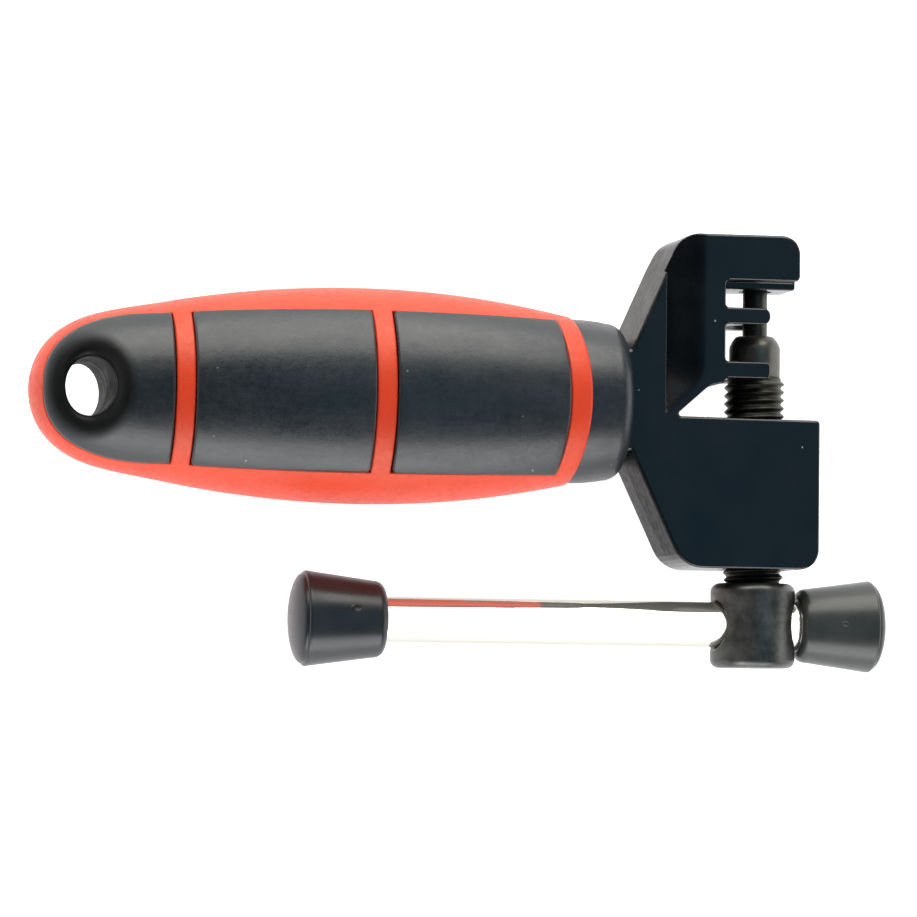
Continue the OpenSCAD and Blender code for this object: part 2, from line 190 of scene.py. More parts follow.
def rubber(name, base, lift, r0, r1, spec=0.5, dusty=1.0, hole=False):
    t = Tree(name)
    t.set(IOR=1.5, Specular_IOR_Level=spec)
    big = t.noise(4.2, 4.0, 0.6)
    streak = t.noise(2.0, 4.0, stretch=(5.0, 1.0, 1.0), shift=6.0)
    fine = t.noise(0.45, 3.0, shift=2.5)
    c = t.mix(t.span(big, 0.3, 0.7, 0.0, 1.0), base, tuple(x * lift for x in base))
    # dull dusty patches and faint rubbed streaks along the grip
    dust = t.math("MULTIPLY", t.span(big, 0.47, 0.72, 0.0, 0.26 * dusty), t.span(fine, 0.36, 0.66, 0.25, 1.0))
    c = t.mix(dust, c, (0.046, 0.046, 0.041))
    c = t.mix(t.span(streak, 0.56, 0.8, 0.0, 0.30 * dusty), c, tuple(x * 2.2 for x in base))
    c = t.mix(specks(t, 2.2, 0.10, 7.7), c, (0.22, 0.22, 0.21))
    line = t.noise(0.42, 3.0, stretch=(11.0, 1.0, 1.0), shift=13.0)
    c = t.mix(t.span(line, 0.54, 0.76, 0.0, 0.34 * dusty), c, tuple(x * 2.3 for x in base))
    grain = t.noise(0.75, 5.0, 0.72, shift=21.0)
    c = t.mix(t.span(grain, 0.34, 0.66, 0.0, 0.5 * dusty), c, tuple(x * 2.0 for x in base))
    mixr = t.math("ADD", t.math("MULTIPLY", big, 0.34), t.math("ADD", t.math("MULTIPLY", streak, 0.40), t.math("MULTIPLY", line, 0.26)))
    r = t.math("ADD", t.span(mixr, 0.38, 0.62, r0, r1), t.span(grain, 0.34, 0.66, -0.05, 0.05))
    if hole:
        # painted shade: darker colour, duller and less specular where the surface rolls into the hanging hole
        flat = t.node("ShaderNodeVectorMath", operation="MULTIPLY")
        flat.inputs[1].default_value = (1.0, 0.82, 0.0)
        t.link(t.co, flat.inputs[0])
        far = t.node("ShaderNodeVectorMath", operation="DISTANCE")
        far.inputs[1].default_value = ((HC + OFF[0]) * 0.001, OFF[1] * 0.82 * 0.001, 0.0)
        t.link(flat.outputs[0], far.inputs[0])
        near = t.span(far.outputs["Value"], 0.0046, 0.0060, 1.0, 0.0)
        c = t.mix(near, c, (0.0042, 0.0044, 0.0044))
        r = t.math("ADD", r, t.math("MULTIPLY", near, 0.12))
        t.link(t.span(near, 0.0, 1.0, spec, spec * 0.3), t.sh.inputs["Specular IOR Level"])
    t.color(c)
    t.rough(r)
    t.bump(t.noise(0.20, 2.0, shift=3.0), 0.30, 0.02)
    t.bump(grain, 0.42, 0.05)
    t.bump(t.noise(1.6, 3.0, shift=8.0), 0.30, 0.06)
    return t.mat


def steel(name, a, b, metal, r0, r1, axis_stretch):
    t = Tree(name)
    t.set(Metallic=metal)
    streak = t.noise(0.5, 4.0, stretch=axis_stretch, shift=2.0)
    blot = t.noise(2.4, 3.0, shift=5.0)
    c = t.mix(t.span(blot, 0.35, 0.7, 0.0, 1.0), a, b)
    c = t.mix(t.span(streak, 0.5, 0.8, 0.0, 0.4), c, tuple(x * 0.55 for x in a))
    t.color(c)
    t.rough(t.span(t.math("ADD", t.math("MULTIPLY", streak, 0.6), t.math("MULTIPLY", blot, 0.4)), 0.35, 0.65, r0, r1))
    t.bump(streak, 0.20, 0.02)
    t.bump(t.noise(0.8, 4.0, 0.65, shift=9.0), 0.35, 0.05)
    return t.mat


def chrome():
    t = Tree("bar_chrome")
    t.set(Metallic=0.88)
    line = t.noise(0.25, 3.0, stretch=(40.0, 1.0, 1.0))
    blot = t.noise(5.0, 3.0, shift=3.0)
    t.color(t.mix(t.span(line, 0.45, 0.75, 0.0, 0.5), (0.63, 0.615, 0.55), (0.54, 0.53, 0.48)))
    t.rough(t.span(blot, 0.35, 0.65, 0.05, 0.11))
    t.bump(line, 0.05, 0.01)
    return t.mat


def knob_plastic(name, lo, hi):
    t = Tree(name)
    t.set(IOR=1.5, Specular_IOR_Level=0.42)
    big = t.noise(3.0, 3.0)
    line = t.noise(0.35, 3.0, stretch=(12.0, 1.0, 1.0), shift=4.0)
    c = t.mix(t.span(big, 0.3, 0.7, 0.0, 1.0), lo, hi)
    c = t.mix(specks(t, 1.9, 0.08, 5.2), c, (0.20, 0.21, 0.21))
    t.color(c)
    t.rough(t.span(t.math("ADD", t.math("MULTIPLY", big, 0.6), t.math("MULTIPLY", line, 0.4)), 0.35, 0.65, 0.27, 0.36))
    t.bump(t.noise(0.25, 2.0, shift=1.5), 0.15, 0.02)
    return t.mat


M_PAINT = paint()
M_RED = red()
M_PAD = rubber("pad_rubber", (0.0092, 0.0115, 0.0138), 1.25, 0.315, 0.425)
HC = -88.70  # middle of the hanging hole
M_BUTT = rubber("butt_rubber", (0.0092, 0.0115, 0.0138), 1.25, 0.315, 0.425, hole=True)
M_BORE = rubber("bore_rubber", (0.0080, 0.0082, 0.0078), 1.5, 0.55, 0.75, 0.12, 0.5)
M_CORE = rubber("core_plastic", (0.010, 0.010, 0.011), 1.2, 0.5, 0.6)
M_SCREW = steel("screw_steel", (0.028, 0.027, 0.021), (0.055, 0.052, 0.040), 0.85, 0.32, 0.50, (8.0, 1.0, 8.0))
M_HEAD = steel("head_steel", (0.050, 0.051, 0.049), (0.125, 0.123, 0.114), 0.75, 0.30, 0.46, (6.0, 1.0, 6.0))
M_NOSE = steel("nose_steel", (0.085, 0.081, 0.069), (0.130, 0.124, 0.106), 0.80, 0.31, 0.43, (8.0, 1.0, 8.0))
M_PIN = steel("pin_steel", (0.040, 0.038, 0.033), (0.070, 0.066, 0.056), 0.85, 0.28, 0.42, (1.0, 8.0, 1.0))
M_BAR = chrome()
M_KNOB = knob_plastic("knob_plastic", (0.0120, 0.0140, 0.0165), (0.0165, 0.0190, 0.0220))
M_KNOB_DULL = knob_plastic("knob_plastic_dull", (0.026, 0.028, 0.027), (0.040, 0.042, 0.040))


# ---------------------------------------------------------------- mesh helpers
def piece(name, verts, faces, mat, body, nodes, sharp=38.0, normals=None):
    """A mesh object from tool coordinates, riding on a body in the place of CAD nodes."""
    v = (np.asarray(verts, float) + OFF) * 0.001
    me = bpy.data.meshes.new(name)
    me.from_pydata(v.tolist(), [], [tuple(int(i) for i in f) for f in faces])
    bm = bmesh.new()
    bm.from_mesh(me)
    if normals is not None:
        keep = bm.verts.layers.float_vector.new("keep")
        for p, n in zip(bm.verts, normals):
            p[keep] = n
    bmesh.ops.remove_doubles(bm, verts=bm.verts, dist=2e-6)
    bmesh.ops.dissolve_degenerate(bm, edges=bm.edges, dist=1e-6)
    bmesh.ops.delete(bm, geom=[p for p in bm.verts if not p.link_faces], context="VERTS")
    bmesh.ops.holes_fill(bm, edges=[e for e in bm.edges if e.is_boundary], sides=0)
    if normals is None:
        bmesh.ops.recalc_face_normals(bm, faces=bm.faces)
    else:
        normals = np.array([tuple(p[keep]) for p in bm.verts])
        bm.verts.layers.float_vector.remove(keep)
    bm.to_mesh(me)
    bm.free()
    me.polygons.foreach_set("use_smooth", [True] * len(me.polygons))
    if normals is not None:
        me.normals_split_custom_set_from_vertices(normals.tolist())
    else:
        me.set_sharp_from_angle(angle=math.radians(sharp))
    me.materials.append(mat)
    me.update()
    ob = bpy.data.objects.new(name, me)
    scene.collection.objects.link(ob)
    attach(ob, body)
    if nodes:
        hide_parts(*nodes)
    return ob


def smoothstep(a, b, x):
    t = np.clip((x - a) / (b - a), 0, 1)
    return t * t * (3 - 2 * t)


def turned(profile, axis, centre=(0, 0, 0), n=96, tube=False):
    """Closed solid of revolution from (along, radius) points, about u or v; a tube closes on its own profile."""
    p = np.array(profile, float)
    th = np.linspace(0, 2 * np.pi, n, endpoint=False)
    c, s = np.cos(th), np.sin(th)
    rings = []
    for a, r in p:
        if axis == "u":
            rings.append(np.stack([np.full(n, a), r * s, r * c], 1))
        else:
            rings.append(np.stack([r * s, np.full(n, a), r * c], 1))
    v = np.concatenate(rings) + np.array(centre)
    f = []
    for i in range(len(p) - (0 if tube else 1)):
        for j in range(n):
            k, i2 = (j + 1) % n, (i + 1) % len(p)
            f.append((i * n + j, i * n + k, i2 * n + k, i2 * n + j))
    if not tube:
        f.append(tuple(range(n)))
        f.append(tuple((len(p) - 1) * n + j for j in range(n)))
    return v, f


def join(*parts):
    verts, faces, base = [], [], 0
    for v, f in parts:
        verts.append(np.asarray(v, float))
        faces += [tuple(i + base for i in q) for q in f]
        base += len(v)
    return np.concatenate(verts), faces


# ---- distance-field solids, meshed with surface nets
def nets(f, lo, hi, h):
    ax = [np.arange(lo[k], hi[k] + h, h) for k in range(3)]
    F = f(ax[0][:, None, None], ax[1][None, :, None], ax[2][None, None, :])
    F = np.ascontiguousarray(np.broadcast_to(F, tuple(len(a) for a in ax))).astype(np.float64)
    S = F < 0
    n = [len(a) - 1 for a in ax]
    cnt = np.zeros(n, np.int8)
    corners = [(a, b, c) for a in (0, 1) for b in (0, 1) for c in (0, 1)]
    for a, b, c in corners:
        cnt += S[a:a + n[0], b:b + n[1], c:c + n[2]]
    I, J, K = np.nonzero((cnt > 0) & (cnt < 8))
    idx = -np.ones(n, np.int64)
    idx[I, J, K] = np.arange(len(I))
    val = {c: F[I + c[0], J + c[1], K + c[2]] for c in corners}
    acc = np.zeros((len(I), 3))
    num = np.zeros(len(I))
    for a in corners:
        for k in range(3):
            if a[k]:
                continue
            b = tuple(1 if q == k else a[q] for q in range(3))
            cross = (val[a] < 0) != (val[b] < 0)
            t = np.where(cross, val[a] / np.where(cross, val[a] - val[b], 1), 0)
            p = np.tile(np.array(a, float), (len(I), 1))
            p[:, k] += t
            acc[cross] += p[cross]
            num[cross] += 1
    P = (acc / num[:, None] + np.stack([I, J, K], 1)) * h + np.array([a[0] for a in ax])
    faces = []
    for k in range(3):
        o = [q for q in range(3) if q != k]
        sl0 = [slice(None)] * 3
        sl1 = [slice(None)] * 3
        sl0[k], sl1[k] = slice(0, -1), slice(1, None)
        A, B = S[tuple(sl0)], S[tuple(sl1)]
        E = np.argwhere(A != B)
        E = E[(E[:, o[0]] > 0) & (E[:, o[1]] > 0) & (E[:, o[0]] < n[o[0]]) & (E[:, o[1]] < n[o[1]])]
        q = []
        for d0, d1 in ((1, 1), (0, 1), (0, 0), (1, 0)):
            c = E.copy()
            c[:, o[0]] -= d0
            c[:, o[1]] -= d1
            q.append(idx[c[:, 0], c[:, 1], c[:, 2]])
        q = np.stack(q, 1)
        inside_first = A[E[:, 0], E[:, 1], E[:, 2]]
        # o is (1,2), (0,2) or (0,1): the middle one has the opposite handedness
        turn = inside_first if k != 1 else ~inside_first
        q[~turn] = q[~turn][:, ::-1]
        faces.append(q)
    e = 0.01

    def at(p):
        return f(p[:, 0], p[:, 1], p[:, 2])

    for _ in range(2):
        g0 = at(P)
        G = np.stack([(at(P + np.eye(3)[k] * e) - g0) / e for k in range(3)], 1)
        L = np.maximum((G * G).sum(1), 0.2)
        P = P - np.clip(g0 / L, -h * 0.6, h * 0.6)[:, None] * G
    g0 = at(P)
    G = np.stack([(at(P + np.eye(3)[k] * e) - at(P - np.eye(3)[k] * e)) for k in range(3)], 1)
    G /= np.maximum(np.linalg.norm(G, axis=1), 1e-9)[:, None]
    return P, np.concatenate(faces), G


def smin(a, b, k):
    h = np.clip(k - np.abs(a - b), 0, None) / k
    return np.minimum(a, b) - h * h * k * 0.25


def smax(a, b, k):
    return -smin(-a, -b, k)


def extrude(d2, dz, r):
    a, b = d2 + r, dz + r
    return np.minimum(np.maximum(a, b), 0) + np.hypot(np.maximum(a, 0), np.maximum(b, 0)) - r


def box2(u, v, u0, u1, v0, v1, r):
    a = np.abs(u - (u0 + u1) / 2) - (u1 - u0) / 2 + r
    b = np.abs(v - (v0 + v1) / 2) - (v1 - v0) / 2 + r
    return np.minimum(np.maximum(a, b), 0) + np.hypot(np.maximum(a, 0), np.maximum(b, 0)) - r


def poly2(u, v, p):
    """Signed distance to a closed polygon."""
    u, v = np.broadcast_arrays(u, v)
    best = np.full(u.shape, 1e9)
    sign = np.ones(u.shape)
    m = len(p)
    for i in range(m):
        a, b = p[i], p[i - 1]
        ex, ey = b[0] - a[0], b[1] - a[1]
        wx, wy = u - a[0], v - a[1]
        t = np.clip((wx * ex + wy * ey) / (ex * ex + ey * ey), 0, 1)
        best = np.minimum(best, (wx - ex * t) ** 2 + (wy - ey * t) ** 2)
        c1, c2, c3 = v >= a[1], v < b[1], ex * wy > ey * wx
        sign = np.where((c1 & c2 & c3) | (~c1 & ~c2 & ~c3), -sign, sign)
    return sign * np.sqrt(best)


def rounded(p, r):
    """Outline points with each corner rounded by its own radius."""
    p = [np.array(q, float) for q in p]
    out = []
    for i, q in enumerate(p):
        if r[i] == 0:
            out.append(q)
            continue
        a = p[i - 1] - q
        b = p[(i + 1) % len(p)] - q
        a /= np.linalg.norm(a)
        b /= np.linalg.norm(b)
        half = math.acos(float(np.clip(a @ b, -1, 1))) / 2
        c = q + (a + b) / np.linalg.norm(a + b) * r[i] / math.sin(half)
        s = q + a * r[i] / math.tan(half) - c
        turn = (math.pi - 2 * half) * (1 if -a[0] * b[1] + a[1] * b[0] > 0 else -1)
        m = max(2, math.ceil(abs(turn) / math.radians(11)))
        for k in range(m + 1):
            t = turn * k / m
            out.append(c + np.array([s[0] * math.cos(t) - s[1] * math.sin(t), s[0] * math.sin(t) + s[1] * math.cos(t)]))
    return out


# ---------------------------------------------------------------- steel frame
OUTLINE = rounded(
    [(-20.0, -6.5), (-18, -6.5), (-10.95, -21.65), (7.4, -21.65), (7.4, -2.1), (-12.15, -1.95), (-7.6, 2.05), (-5.4, 2.55), (-5.4, 16), (4.6, 16),
     (4.6, 22), (-11.13, 22), (-18, 6.5), (-20.0, 6.5)],
    [0, 0, 4.3, 2.6, 0.5, 0.35, 1.8, 0.4, 0.6, 0.7, 2.4, 3.4, 0, 0])


def frame_field(u, v, z):
    az = np.abs(z)
    d2 = poly2(u, v, OUTLINE)
    # cast flanks: the upper one has draft towards the back, the lower one swells to a parting line
    d2 = d2 - smoothstep(-9.8, -14.0, u) * smoothstep(-19.4, -17.5, u) * np.where(v > 0, 0.044 * (6 - z), 0.045 * np.clip(6 - az, 0, None))
    body = extrude(d2, az - 6, 0.38)
    rr = np.sqrt(u * u + z * z)
    gap = np.where(u < 0, rr, az + 0 * u) - 4.25
    for v0, tip in ((11.35, 0.98), (4.28, 0.6)):
        t = extrude(box2(u, v, -7.0, 0.6, v0 - 1.075, v0 + 1.075, tip), az - 6, 0.28)
        body = smin(body, smax(t, -gap, 0.25), 0.55)
    pad = extrude(box2(u, v, -7.0, 4.4, 15.0, 17.0, 0.3), az - 3.9, 0.22)
    body = np.maximum(smin(body, pad, 0.18), az - 6)
    # scooped relief in the arm, on both faces
    ramp_ = smax(0.315 * (-8.25 - u), 0 * u, 0.40)
    rise = smax(0.33 * ((v + 1.3) - 0.95 * (u + 12.6)) * 0.725, 0 * u, 0.30)
    deep = smin(ramp_, rise, 0.45) - 0.075
    # on the back it runs out before the flank
    deep = np.where(z < 0, np.minimum(deep, deep * smoothstep(0.15, 1.6, -d2)), deep)
    cut = smax(6 - deep - az, -13.35 - u, 0.08)
    body = smax(body, -cut, 0.06)
    # tapped hole with a small lead-in, rivet exit hole
    lead = np.clip(0.45 - np.minimum(np.abs(v + 2.05), np.abs(v + 21.65)), 0, None)
    body = smax(body, -np.maximum(rr - 4.06 - lead, v + 1.0), 0.12)
    body = smax(body, -np.maximum(rr - 2.1, 13 - v), 0.15)
    return body


P, Q, G = nets(frame_field, (-20.4, -22.0, -6.7), (8.0, 22.8, 6.7), 0.225)
nf = len(P)
# tang inside the grip
tang = []
for su in (-61.5, -19.0):
    for sv in (-4.6, 4.6):
        for sz in (-3.5, 3.5):
            tang.append((su, sv, sz))
tf = [(0, 1, 3, 2), (4, 6, 7, 5), (0, 4, 5, 1), (2, 3, 7, 6), (0, 2, 6, 4), (1, 5, 7, 3)]
V, FA = join((P, [tuple(q) for q in Q.tolist()]), (np.array(tang), tf))
tn = np.array(tang) - np.array([-40, 0, 0])
tn = tn / np.linalg.norm(tn, axis=1)[:, None]
piece("frame_casting", V, FA, M_PAINT, "tool", ["frame"], normals=np.concatenate([G, tn]))

# ---------------------------------------------------------------- grip surface
J, RUN, WRUN = -79.3, 16.5, 15.2
TIP = J - RUN


def arc(u):
    return 14.0 - 134.0 + np.sqrt(134.0 ** 2 - (u + 53.0) ** 2)


RJ = float(arc(np.array(J)))


def radius(u):
    u = np.asarray(u, float)
    q = np.clip((J - u) / RUN, 0, 1)
    butt = (RJ - 0.17 * RUN * q) * np.sqrt(np.maximum(0, 1 - q ** 4.3))
    return np.where(u < J, butt, arc(np.maximum(u, J)))


def half(u):
    """Half width in plan of the windows at u."""
    u = np.asarray(u, float)
    main = 10.4 - np.where(u < -53, 0.00115, 0.0006) * (u + 53) ** 2
    q = np.clip((J - u) / WRUN, 0, 1)
    return np.where(u < J, 9.62 * (1 - q ** 2.4) ** (1 / 2.4), main)


def bow(u, phi):
    """The front bands bulge forward in the middle of the grip."""
    a = np.clip((u + 50.0) / 25.4, 0, 1.2) ** 2
    return u + a * (0.5 - (radius(u) * np.sin(phi) / 10.0) ** 2)


def skin(u, phi, h):
    """Point on the grip's surface, moved out by h along the normal."""
    u = np.asarray(u, float)
    e = 1e-3
    lo, hi = np.maximum(u - e, TIP), np.maximum(u + e, TIP + 2 * e)
    d = (radius(hi) - radius(lo)) / (hi - lo)
    k = 1 / np.sqrt(1 + d * d)
    r = radius(u) + h * k
    return np.stack([bow(u, phi) - h * d * k, r * np.sin(phi), r * np.cos(phi)], -1)


def drop(d, r):
    """How far a rounded edge lies under the surface at a distance d from it."""
    x = np.clip(r - d, 0, r)
    return r - np.sqrt(r * r - x * x)


FINE = [0.0, 0.05, 0.11, 0.19, 0.30, 0.46]


def spaced(a, b, n, start=True, end=True):
    x = []
    if start:
        x += [a + d for d in FINE]
    if end:
        x += [b - d for d in FINE]
    lo = a + (FINE[-1] if start else 0)
    hi = b - (FINE[-1] if end else 0)
    x += list(np.linspace(lo, hi, n))
    return np.array(sorted(set(np.round(x, 5))))


# ---- red cage
WIN = [(J - WRUN, -78.3), (-75.9, -52.9), (-50.3, -27.5)]
FRONT = -24.6
rows = [np.array([TIP + 1.3 * (k / 9.0) ** 2 for k in range(9)]), np.array([WIN[0][0] - d for d in FINE])]
tt = np.linspace(0, np.pi / 2, 30)
rows += [J - WRUN * np.cos(tt) ** (2 / 2.4), spaced(J, WIN[0][1], 3, False, True)]
rows += [spaced(WIN[0][1], WIN[1][0], 4), spaced(WIN[1][0], WIN[1][1], 26), spaced(WIN[1][1], WIN[2][0], 4)]
rows += [spaced(WIN[2][0], WIN[2][1], 26), spaced(WIN[2][1], FRONT, 4)]
U = np.array(sorted(set(np.round(np.concatenate(rows), 5))))
NA, NB = 26, 22
tA = np.linspace(-1, 1, NA + 1)[:-1]


def columns(u):
    """Angles round the grip at u: window span, rail, window span, rail."""
    R = max(float(radius(u)), 1e-3)
    w = float(half(u)) if u > WIN[0][0] else 0.0
    pe = math.asin(min(1.0, w / R))
    span = math.pi - 2 * pe
    L = R * span
    f = np.minimum(np.array(FINE) / L, 0.2 * np.arange(len(FINE)) / (len(FINE) - 1))
    s = np.concatenate([f, np.linspace(f[-1], 1 - f[-1], NB)[1:-1], 1 - f[::-1]])[:-1]
    A = pe * tA
    B = pe + span * s
    return np.concatenate([A, B, A + math.pi, B + math.pi]), pe


nb = 2 * len(FINE) + NB - 3
NC = 2 * (NA + nb)
phi = np.zeros((len(U), NC))
dist = np.zeros((len(U), NC))
for i, u in enumerate(U):
    phi[i], pe = columns(u)
    R = float(radius(u))
    lat = np.abs(((phi[i] + math.pi / 2) % math.pi) - math.pi / 2)
    b = np.maximum(0, (lat - pe) * R)
    best = np.full(NC, 9.0)
    for a0, a1 in WIN:
        a = max(a0 - u, u - a1, 0.0)
        best = np.minimum(best, np.hypot(a, b))
    dist[i] = best
hh = -drop(dist, 0.3)
hh -= drop(FRONT - U, 0.45)[:, None]
UU = np.repeat(U[:, None], NC, 1)
outer = skin(UU, phi, hh).reshape(-1, 3)
inner = skin(np.clip(UU, TIP + 2.1, None), phi, np.full_like(UU, -1.9))
inner[..., 1:] *= np.clip((UU - TIP) / 2.1, 0, 1)[..., None]
inner = inner.reshape(-1, 3)
void = np.zeros((len(U) - 1, NC), bool)
inA = np.zeros(NC, bool)
inA[:NA] = True
inA[NA + nb:2 * NA + nb] = True
for i in range(len(U) - 1):
    m = (U[i] + U[i + 1]) / 2
    if any(a0 < m < a1 for a0, a1 in WIN):
        void[i] = inA
nv = len(outer)
cf = []
for i in range(len(U) - 1):
    for j in range(NC):
        k = (j + 1) % NC
        a, b, c, d = i * NC + j, i * NC + k, (i + 1) * NC + k, (i + 1) * NC + j
        if void[i, j]:
            continue
        cf.append((a, b, c, d))
        cf.append((nv + d, nv + c, nv + b, nv + a))
        if void[i, (j - 1) % NC]:
            cf.append((a, d, nv + d, nv + a))
        if void[i, k]:
            cf.append((c, b, nv + b, nv + c))
        if i > 0 and void[i - 1, j]:
            cf.append((b, a, nv + a, nv + b))
        if i == len(U) - 2 or void[i + 1, j]:
            cf.append((d, c, nv + c, nv + d))
piece("grip_red_cage", np.concatenate([outer, inner]), cf, M_RED, "tool", ["grip_cage"], sharp=50)

# ---- black pads of the middle and the front
PROUD, GAP, EDGE = 0.35, 0.09, 0.42


def pad(u0, u1):
    us = spaced(u0 + GAP, u1 - GAP, 26)
    n = 34
    rows_, flags = [], []
    for u in us:
        R = float(radius(u))
        pe = math.asin((float(half(u)) - GAP) / R)
        L = 2 * pe * R
        f = np.array(FINE) / L
        s = np.concatenate([f, np.linspace(f[-1], 1 - f[-1], n)[1:-1], 1 - f[::-1]])
        a = min(u - us[0], us[-1] - u)
        b = np.minimum(s, 1 - s) * L
        d = np.minimum(a, b)
        # round the corners in plan
        rho = 0.75
        px = np.full(len(s), np.clip((rho - a) / rho, 0, 1))
        py = np.clip((rho - b) / rho, 0, 1)
        m = np.maximum(px, py)
        ln = np.maximum(np.hypot(px, py), 1e-9)
        both = (px > 0) & (py > 0)
        kx = np.where(both, px * m / ln, px)
        ky = np.where(both, py * m / ln, py)
        du = (px - kx) * rho * (1 if u - us[0] < us[-1] - u else -1)
        db = (py - ky) * rho * np.where(s < 0.5, 1, -1)
        rows_.append(np.stack([u + du, -pe + (s * L + db) / R, d], 1))
    g = np.array(rows_)
    nu, ns = g.shape[:2]
    top = skin(g[..., 0], g[..., 1], PROUD - drop(g[..., 2], EDGE)).reshape(-1, 3)
    low = skin(g[..., 0], g[..., 1], np.full((nu, ns), -1.85)).reshape(-1, 3)
    m = nu * ns
    f = []
    for i in range(nu - 1):
        for j in range(ns - 1):
            a, b, c, d = i * ns + j, i * ns + j + 1, (i + 1) * ns + j + 1, (i + 1) * ns + j
            f.append((a, b, c, d))
            f.append((m + d, m + c, m + b, m + a))
    rim = [j for j in range(ns)] + [i * ns + ns - 1 for i in range(1, nu)] + [(nu - 1) * ns + j for j in range(ns - 2, -1, -1)] + [
        i * ns for i in range(nu - 2, 0, -1)]
    for a, b in zip(rim, rim[1:] + rim[:1]):
        f.append((b, a, m + a, m + b))
    return np.concatenate([top, low]), f


def back(v):
    w = np.array(v, float)
    w[:, 2] *= -1
    return w


for nm, (u0, u1) in (("mid", WIN[1]), ("fore", WIN[2])):
    v, f = pad(u0, u1)
    piece(nm + "_pad_skin_front", v, f, M_PAD, "tool", [nm + "_pad_front"], sharp=60)
    piece(nm + "_pad_skin_back", back(v), [q[::-1] for q in f], M_PAD, "tool", [nm + "_pad_back"], sharp=60)

# ---- butt pad, rolling softly into the hanging hole
ang = np.linspace(-np.pi, np.pi, 144, endpoint=False)
u1 = WIN[0][1] - GAP
for sgn in (1, -1):
    ca = math.atan2(sgn * (float(half(u1)) - GAP), u1 - HC)
    ang[np.argmin(np.abs(ang - ca))] = ca
ca, sa = np.cos(ang), np.sin(ang)
lo_, hi_ = np.full(len(ang), 4.0), np.full(len(ang), 20.0)
for _ in range(40):
    md = (lo_ + hi_) / 2
    uu, vv = HC + md * ca, md * sa
    q = np.clip((J - uu) / (WRUN - GAP), 0, 1)
    w = np.where(uu < J, (9.62 - GAP) * (1 - q ** 2.4) ** (1 / 2.4), half(uu) - GAP)
    inside = (uu < u1 + 1e-6) & (uu > J - WRUN + GAP) & (np.abs(vv) <= w + 1e-6)
    lo_ = np.where(inside, md, lo_)
    hi_ = np.where(inside, hi_, md)
rim_r = lo_
ring = np.stack([HC + rim_r * ca, rim_r * sa], 1)


def edge_distance(p):
    best = np.full(len(p), 1e9)
    for a, b in zip(ring, np.roll(ring, -1, 0)):
        e = b - a
        w = p - a
        t = np.clip((w @ e) / (e @ e), 0, 1)
        best = np.minimum(best, ((w - t[:, None] * e) ** 2).sum(1))
    return np.sqrt(best)


def butt_point(u, v, h):
    R = np.maximum(radius(u), 1e-3)
    ph = np.arcsin(np.clip(v / R, -1, 1))
    return skin(u, ph, h)


na = len(ang)
bore = 1 / np.sqrt((ca / 3.10) ** 2 + (sa / 3.72) ** 2) + 0.02
roll = 1 / np.sqrt((ca / np.where(ca > 0, 5.0, 5.55)) ** 2 + (sa / 7.0) ** 2)      # where the roll into the hole starts
sink = 1.35 + 0.95 * sa ** 2                                # how deep it goes
loop = []
for th in np.radians(np.linspace(90, 0, 15)):
    rho = roll - (roll - bore) * math.sin(th)
    pu, pv = HC + rho * ca, rho * sa
    d = edge_distance(np.stack([pu, pv], 1))
    h = PROUD - drop(d, EDGE)
    q = butt_point(pu, pv, h)
    q[:, 0] += (pu - q[:, 0]) * math.sin(th)
    q[:, 1] += (pv - q[:, 1]) * math.sin(th)
    q[:, 2] -= sink * (1 - math.cos(th))
    loop.append(q)
steps = sorted(set(np.round(np.concatenate([np.linspace(0, 1, 15)[1:], [1 - d / 5.0 for d in FINE]]), 4)))
for s_ in steps:
    rho = roll + (rim_r - roll) * s_
    pu, pv = HC + rho * ca, rho * sa
    d = edge_distance(np.stack([pu, pv], 1))
    loop.append(butt_point(pu, pv, PROUD - drop(d, EDGE)))
for s_ in (1.0, 0.66, 0.33, 0.0):
    rho = 4.55 + (rim_r - 4.55) * s_
    q = butt_point(HC + rho * ca, rho * sa, np.full(na, -1.8))
    q[:, 2] -= 1.0 * (1 - s_)
    loop.append(q)
nl = len(loop)
f = []
for i in range(nl):
    for j in range(na):
        k, i2 = (j + 1) % na, (i + 1) % nl
        f.append((i * na + j, i2 * na + j, i2 * na + k, i * na + k))
v = np.concatenate(loop)
piece("butt_pad_skin_front", v, f, M_BUTT, "tool", ["butt_pad_front"], sharp=60)
piece("butt_pad_skin_back", back(v), [q[::-1] for q in f], M_BUTT, "tool", ["butt_pad_back"], sharp=60)

# ---- liner of the hanging hole: plain bore with a faint parting ridge in the middle
zl = loop[0][:, 2] - 0.03
cen = np.array([HC, 0.0])
dirs = np.stack([ca, sa], 1)
HB = (bore - 0.02)[:, None]
rings = [np.column_stack([cen + dirs * (HB + 0.06), zl]), np.column_stack([cen + dirs * (HB + 0.01), zl - 0.08])]
for s_, dr in ((0.92, 0.0), (0.8, 0.015), (0.62, 0.0), (0.45, 0.02), (0.28, 0.0), (0.10, -0.02), (0.05, -0.07), (0.0, -0.11)):
    rings.append(np.column_stack([cen + dirs * (HB + dr), zl * s_]))
half_rings = np.array(rings)
mirror = half_rings[::-1][1:].copy()
mirror[..., 2] *= -1
out_r = np.column_stack([cen + dirs * (HB + 0.7), zl - 0.75])
out_l = out_r.copy()
out_l[:, 2] *= -1
tube = np.concatenate([half_rings, mirror, out_l[None], out_r[None]])
nt = len(tube)
f = []
for i in range(nt):
    for j in range(na):
        k, i2 = (j + 1) % na, (i + 1) % nt
        f.append((i * na + j, i * na + k, i2 * na + k, i2 * na + j))
piece("hang_hole_sleeve", tube.reshape(-1, 3), f, M_BORE, "tool", ["hang_hole_liner"], sharp=60)

